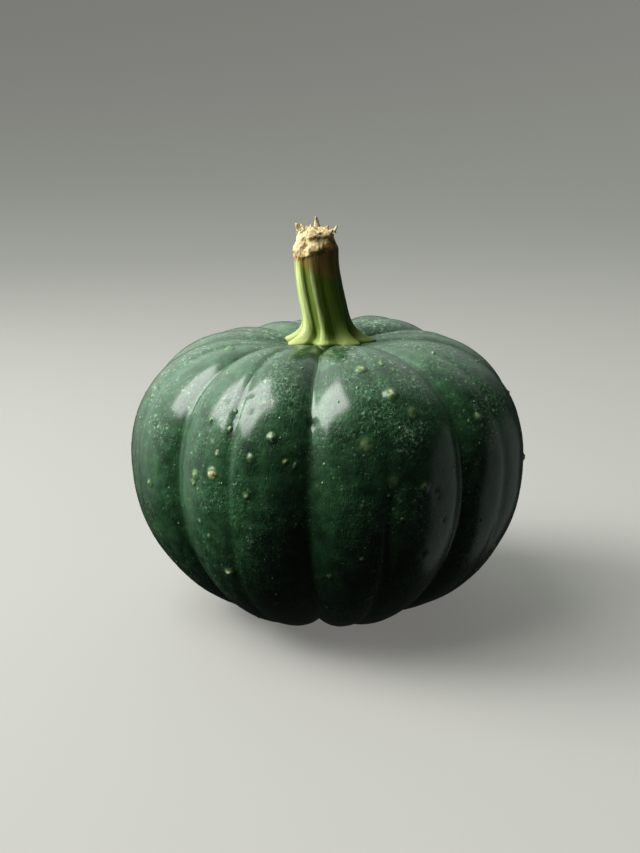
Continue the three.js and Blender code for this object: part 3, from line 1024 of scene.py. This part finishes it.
CAMERA_DISTANCE = 480 * MM
CAMERA_ELEVATION = 16
CAMERA_SHIFT = (-0.0082, 0.0258)
CAMERA_LENS = 50.16
KEY_DIRECTION = (-0.56, -0.15, 0.80)
KEY_DISTANCE = 1.5
KEY_SIZE = (1.1, 1.35)
SIDE_DIRECTION = (-0.84, 0.12, 0.53)
SIDE_DISTANCE = 1.4
SIDE_SIZE = (0.8, 0.8)
SIDE_SPREAD_DEGREES = 80

# Glows of the surroundings: direction, half angle of the even middle and of the whole glow, brightness.
GLOWS = (
    {"direction": (-0.78, 0.35, 0.52), "even": 0, "whole": 66, "brightness": 1.0},
    {"direction": (-0.1, 0.62, 0.78), "even": 0, "whole": 62, "brightness": 0.8},
    {"direction": (0.92, 0.24, -0.3), "even": 26, "whole": 35, "brightness": 0.17},
)

FLOOR_RADIUS = 2.2
COVE_RADIUS = 0.9
COVE_HEIGHT = 3.0
COVE_STEPS = 14


def make_floor(settings):
    """A level round floor that sweeps up into a wall all the way round.

    It is seen but stays out of the fruit's gloss and shade, as black cards would keep it out.
    """
    outline = [(0.0, 0.0), (FLOOR_RADIUS, 0.0)]
    for step in range(1, COVE_STEPS):
        turn = step / COVE_STEPS * math.pi / 2
        outline.append((FLOOR_RADIUS + COVE_RADIUS * math.sin(turn), COVE_RADIUS * (1 - math.cos(turn))))
    outline += [(FLOOR_RADIUS + COVE_RADIUS, COVE_RADIUS), (FLOOR_RADIUS + COVE_RADIUS, COVE_HEIGHT)]
    shape = bmesh.new()
    verts = [shape.verts.new((radius, 0, height)) for radius, height in outline]
    edges = [shape.edges.new(pair) for pair in zip(verts, verts[1:])]
    bmesh.ops.spin(shape, geom=verts + edges, cent=(0, 0, 0), axis=(0, 0, 1), angle=2 * math.pi, steps=96)
    bmesh.ops.remove_doubles(shape, verts=shape.verts, dist=0.01 * MM)
    bmesh.ops.recalc_face_normals(shape, faces=shape.faces)
    mesh = bpy.data.meshes.new("floor")
    shape.to_mesh(mesh)
    shape.free()
    if mesh.polygons[0].normal.z < 0:
        mesh.flip_normals()
    mesh.shade_smooth()
    mesh.materials.append(studio_paper(settings))
    floor = add_object("floor", mesh)
    floor.visible_glossy = False
    floor.visible_diffuse = False
    floor.visible_shadow = False
    return floor


def add_softbox(name, direction, distance, size, watts):
    """A rectangular area light that faces the middle of the fruit."""
    light = bpy.data.lights.new(name, "AREA")
    light.shape = "RECTANGLE"
    light.size, light.size_y = size
    light.energy = watts
    lamp = add_object(name, light)
    middle = Vector((0, 0, RESTING_DEPTH))
    lamp.location = middle + Vector(direction).normalized() * distance
    lamp.rotation_euler = (middle - lamp.location).to_track_quat("-Z", "Y").to_euler()
    return lamp


def add_camera():
    data = bpy.data.cameras.new("camera")
    data.lens = CAMERA_LENS
    data.sensor_width = 36
    data.shift_x, data.shift_y = CAMERA_SHIFT
    data.clip_start = 0.01
    data.clip_end = 20
    camera = add_object("camera", data)
    tilt = math.radians(CAMERA_ELEVATION)
    middle = Vector((0, 0, RESTING_DEPTH))
    camera.location = middle + Vector((0, -math.cos(tilt), math.sin(tilt))) * CAMERA_DISTANCE
    camera.rotation_euler = (math.pi / 2 - tilt, 0, 0)
    bpy.context.scene.camera = camera


def make_studio(settings):
    make_floor(settings)
    add_softbox("key_softbox", KEY_DIRECTION, KEY_DISTANCE, KEY_SIZE, settings.key_power)
    side = add_softbox("side_softbox", SIDE_DIRECTION, SIDE_DISTANCE, SIDE_SIZE, settings.side_power)
    side.visible_glossy = False
    side.data.spread = math.radians(SIDE_SPREAD_DEGREES)
    add_camera()
    bpy.context.scene.world = soft_dome(settings)
    bpy.context.scene.view_settings.view_transform = "Standard"


def soft_dome(settings):
    """Dim surroundings with smooth glows in them, which the wax reflects as a soft sheen."""
    world = bpy.data.worlds.new("soft_dome")
    world.use_nodes = True
    tree = world.node_tree
    background = tree.nodes["Background"]
    background.inputs["Color"].default_value = settings.surroundings
    view = add_node(tree, "ShaderNodeTexCoord").outputs["Generated"]
    strength = Field(tree, add_node(tree, "ShaderNodeValue").outputs[0])
    strength.socket.default_value = settings.fill_strength
    for glow in GLOWS:
        direction = tuple(Vector(glow["direction"]).normalized())
        facing = add_node(tree, "ShaderNodeVectorMath", view, direction, operation="DOT_PRODUCT")
        limits = [math.cos(math.radians(glow[key])) for key in ("whole", "even")]
        near = add_node(tree, "ShaderNodeMapRange", facing.outputs["Value"], *limits,
                        interpolation_type="SMOOTHSTEP")
        strength = strength + Field(tree, near.outputs[0]) * (glow["brightness"] * settings.glow_strength)
    tree.links.new(strength.socket, background.inputs["Strength"])
    return world


# ---------------------------------------------------------------- add-on

def length_property(label, description, default):
    return bpy.props.FloatProperty(name=label, description=description, default=default,
                                   unit="LENGTH", subtype="DISTANCE", precision=5)


def color_property(label, description, code):
    return bpy.props.FloatVectorProperty(name=label, description=description, default=linear_color(code),
                                         subtype="COLOR", size=4, min=0, max=1)


class SquashFruitSettings(bpy.types.PropertyGroup):
    groove_depth: length_property("Groove depth", "Depth of the grooves between lobes", 7 * MM)
    furrow_depth: length_property("Furrow depth", "Depth of the furrow along each lobe", 1.5 * MM)
    lump_height: length_property("Lump height", "Height of the broad lumps of the rind", 0.7 * MM)
    wart_density: bpy.props.FloatProperty(
        name="Wart density", description="Small warts on each square metre", default=4200.0)
    wax: bpy.props.FloatProperty(
        name="Wax", description="How much of the rind its clear wax covers", default=1.0, subtype="FACTOR")
    deep_green: color_property("Deep green", "Darkest green of the rind", "#112616")
    leaf_green: color_property("Leaf green", "Lightest green of the rind", "#2e5433")
    fleck_green: color_property("Fleck green", "Pale flecks on the rind", "#7f9a7c")
    # Painted shade inside the small pits and the sunk scars.
    pit_shade_green: color_property("Pit green", "Inside of the small pits", "#0c140c")
    bloom_green: color_property("Bloom green", "Tint of the soft sheen of the skin", "#9fd6a3")
    wart_green: color_property("Wart green", "Young warts", "#6f8553")
    wart_tan: color_property("Wart tan", "Old corky warts", "#b8ab84")


class SquashStemSettings(bpy.types.PropertyGroup):
    cork_relief: length_property("Cork relief", "Height of the lumps at the torn end", 1.25 * MM)
    stalk_green: color_property("Stalk green", "Between the ridges", "#4f631c")
    ridge_green: color_property("Ridge green", "Pale ridges", "#afbc79")
    foot_green: color_property("Foot green", "Flared foot", "#8f985c")
    # Dried stalk below the cork, also used as painted shade lower down on its right side.
    dried_and_shade_brown: color_property("Dried brown", "Dried stalk below the cork", "#7a6030")
    cork_cream: color_property("Cork cream", "Dry torn end", "#c9b487")
    # Hollows and lower right of the torn end, partly its own colour and partly painted shade.
    cork_brown_and_shade: color_property("Cork brown", "Hollows of the torn end", "#86652f")


class SquashStudioSettings(bpy.types.PropertyGroup):
    key_power: bpy.props.FloatProperty(
        name="Key power", description="Power of the key softbox", default=31.0, unit="POWER")
    side_power: bpy.props.FloatProperty(
        name="Side power", description="Power of the side softbox", default=7.5, unit="POWER")
    glow_strength: bpy.props.FloatProperty(
        name="Glow strength", description="Brightness of the glows in the surroundings", default=1.0)
    fill_strength: bpy.props.FloatProperty(
        name="Fill strength", description="Brightness of the surroundings", default=0.015)
    surroundings: color_property("Surroundings", "Colour of the surroundings and their glows", "#e0f0e5")
    paper_grey: color_property("Paper grey", "Floor and backdrop", "#82817d")


class SQUASH_OT_add_fruit(bpy.types.Operator):
    """Add the ribbed fruit in place of the plain one"""
    bl_idname = "squash.add_fruit"
    bl_label = "Add Fruit"

    def execute(self, context):
        fruit = make_fruit(context.scene.squash_fruit)
        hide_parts("fruit")
        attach(fruit, "root")
        return {"FINISHED"}


class SQUASH_OT_add_stem(bpy.types.Operator):
    """Add the ridged stem, its foot laid on the fruit's crown"""
    bl_idname = "squash.add_stem"
    bl_label = "Add Stem"

    def execute(self, context):
        stem = make_stem(context.scene.squash_stem, bpy.data.objects["squash_fruit"])
        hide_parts("stem")
        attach(stem, "root")
        return {"FINISHED"}


class SQUASH_OT_add_studio(bpy.types.Operator):
    """Add the floor, the lights and the camera"""
    bl_idname = "squash.add_studio"
    bl_label = "Add Studio"

    def execute(self, context):
        make_studio(context.scene.squash_studio)
        return {"FINISHED"}


class SQUASH_PT_panel(bpy.types.Panel):
    """Sizes and colours of the squash"""
    bl_idname = "SQUASH_PT_panel"
    bl_label = "Winter Squash"
    bl_space_type = "VIEW_3D"
    bl_region_type = "UI"
    bl_category = "Squash"

    def draw(self, context):
        sections = (("squash.add_fruit", context.scene.squash_fruit),
                    ("squash.add_stem", context.scene.squash_stem),
                    ("squash.add_studio", context.scene.squash_studio))
        for operator, settings in sections:
            box = self.layout.box()
            for name in settings.bl_rna.properties.keys():
                if name not in ("rna_type", "name"):
                    box.prop(settings, name)
            box.operator(operator)


GROUPS = {
    "squash_fruit": SquashFruitSettings,
    "squash_stem": SquashStemSettings,
    "squash_studio": SquashStudioSettings,
}
CLASSES = (*GROUPS.values(), SQUASH_OT_add_fruit, SQUASH_OT_add_stem, SQUASH_OT_add_studio, SQUASH_PT_panel)


def register():
    for item in CLASSES:
        bpy.utils.register_class(item)
    for name, group in GROUPS.items():
        setattr(bpy.types.Scene, name, bpy.props.PointerProperty(type=group))


def unregister():
    for name in GROUPS:
        delattr(bpy.types.Scene, name)
    for item in reversed(CLASSES):
        bpy.utils.unregister_class(item)


def main():
    register()
    bpy.ops.squash.add_fruit()
    bpy.ops.squash.add_stem()
    bpy.ops.squash.add_studio()
    bpy.context.view_layer.update()


if __name__ == "__main__":
    main()
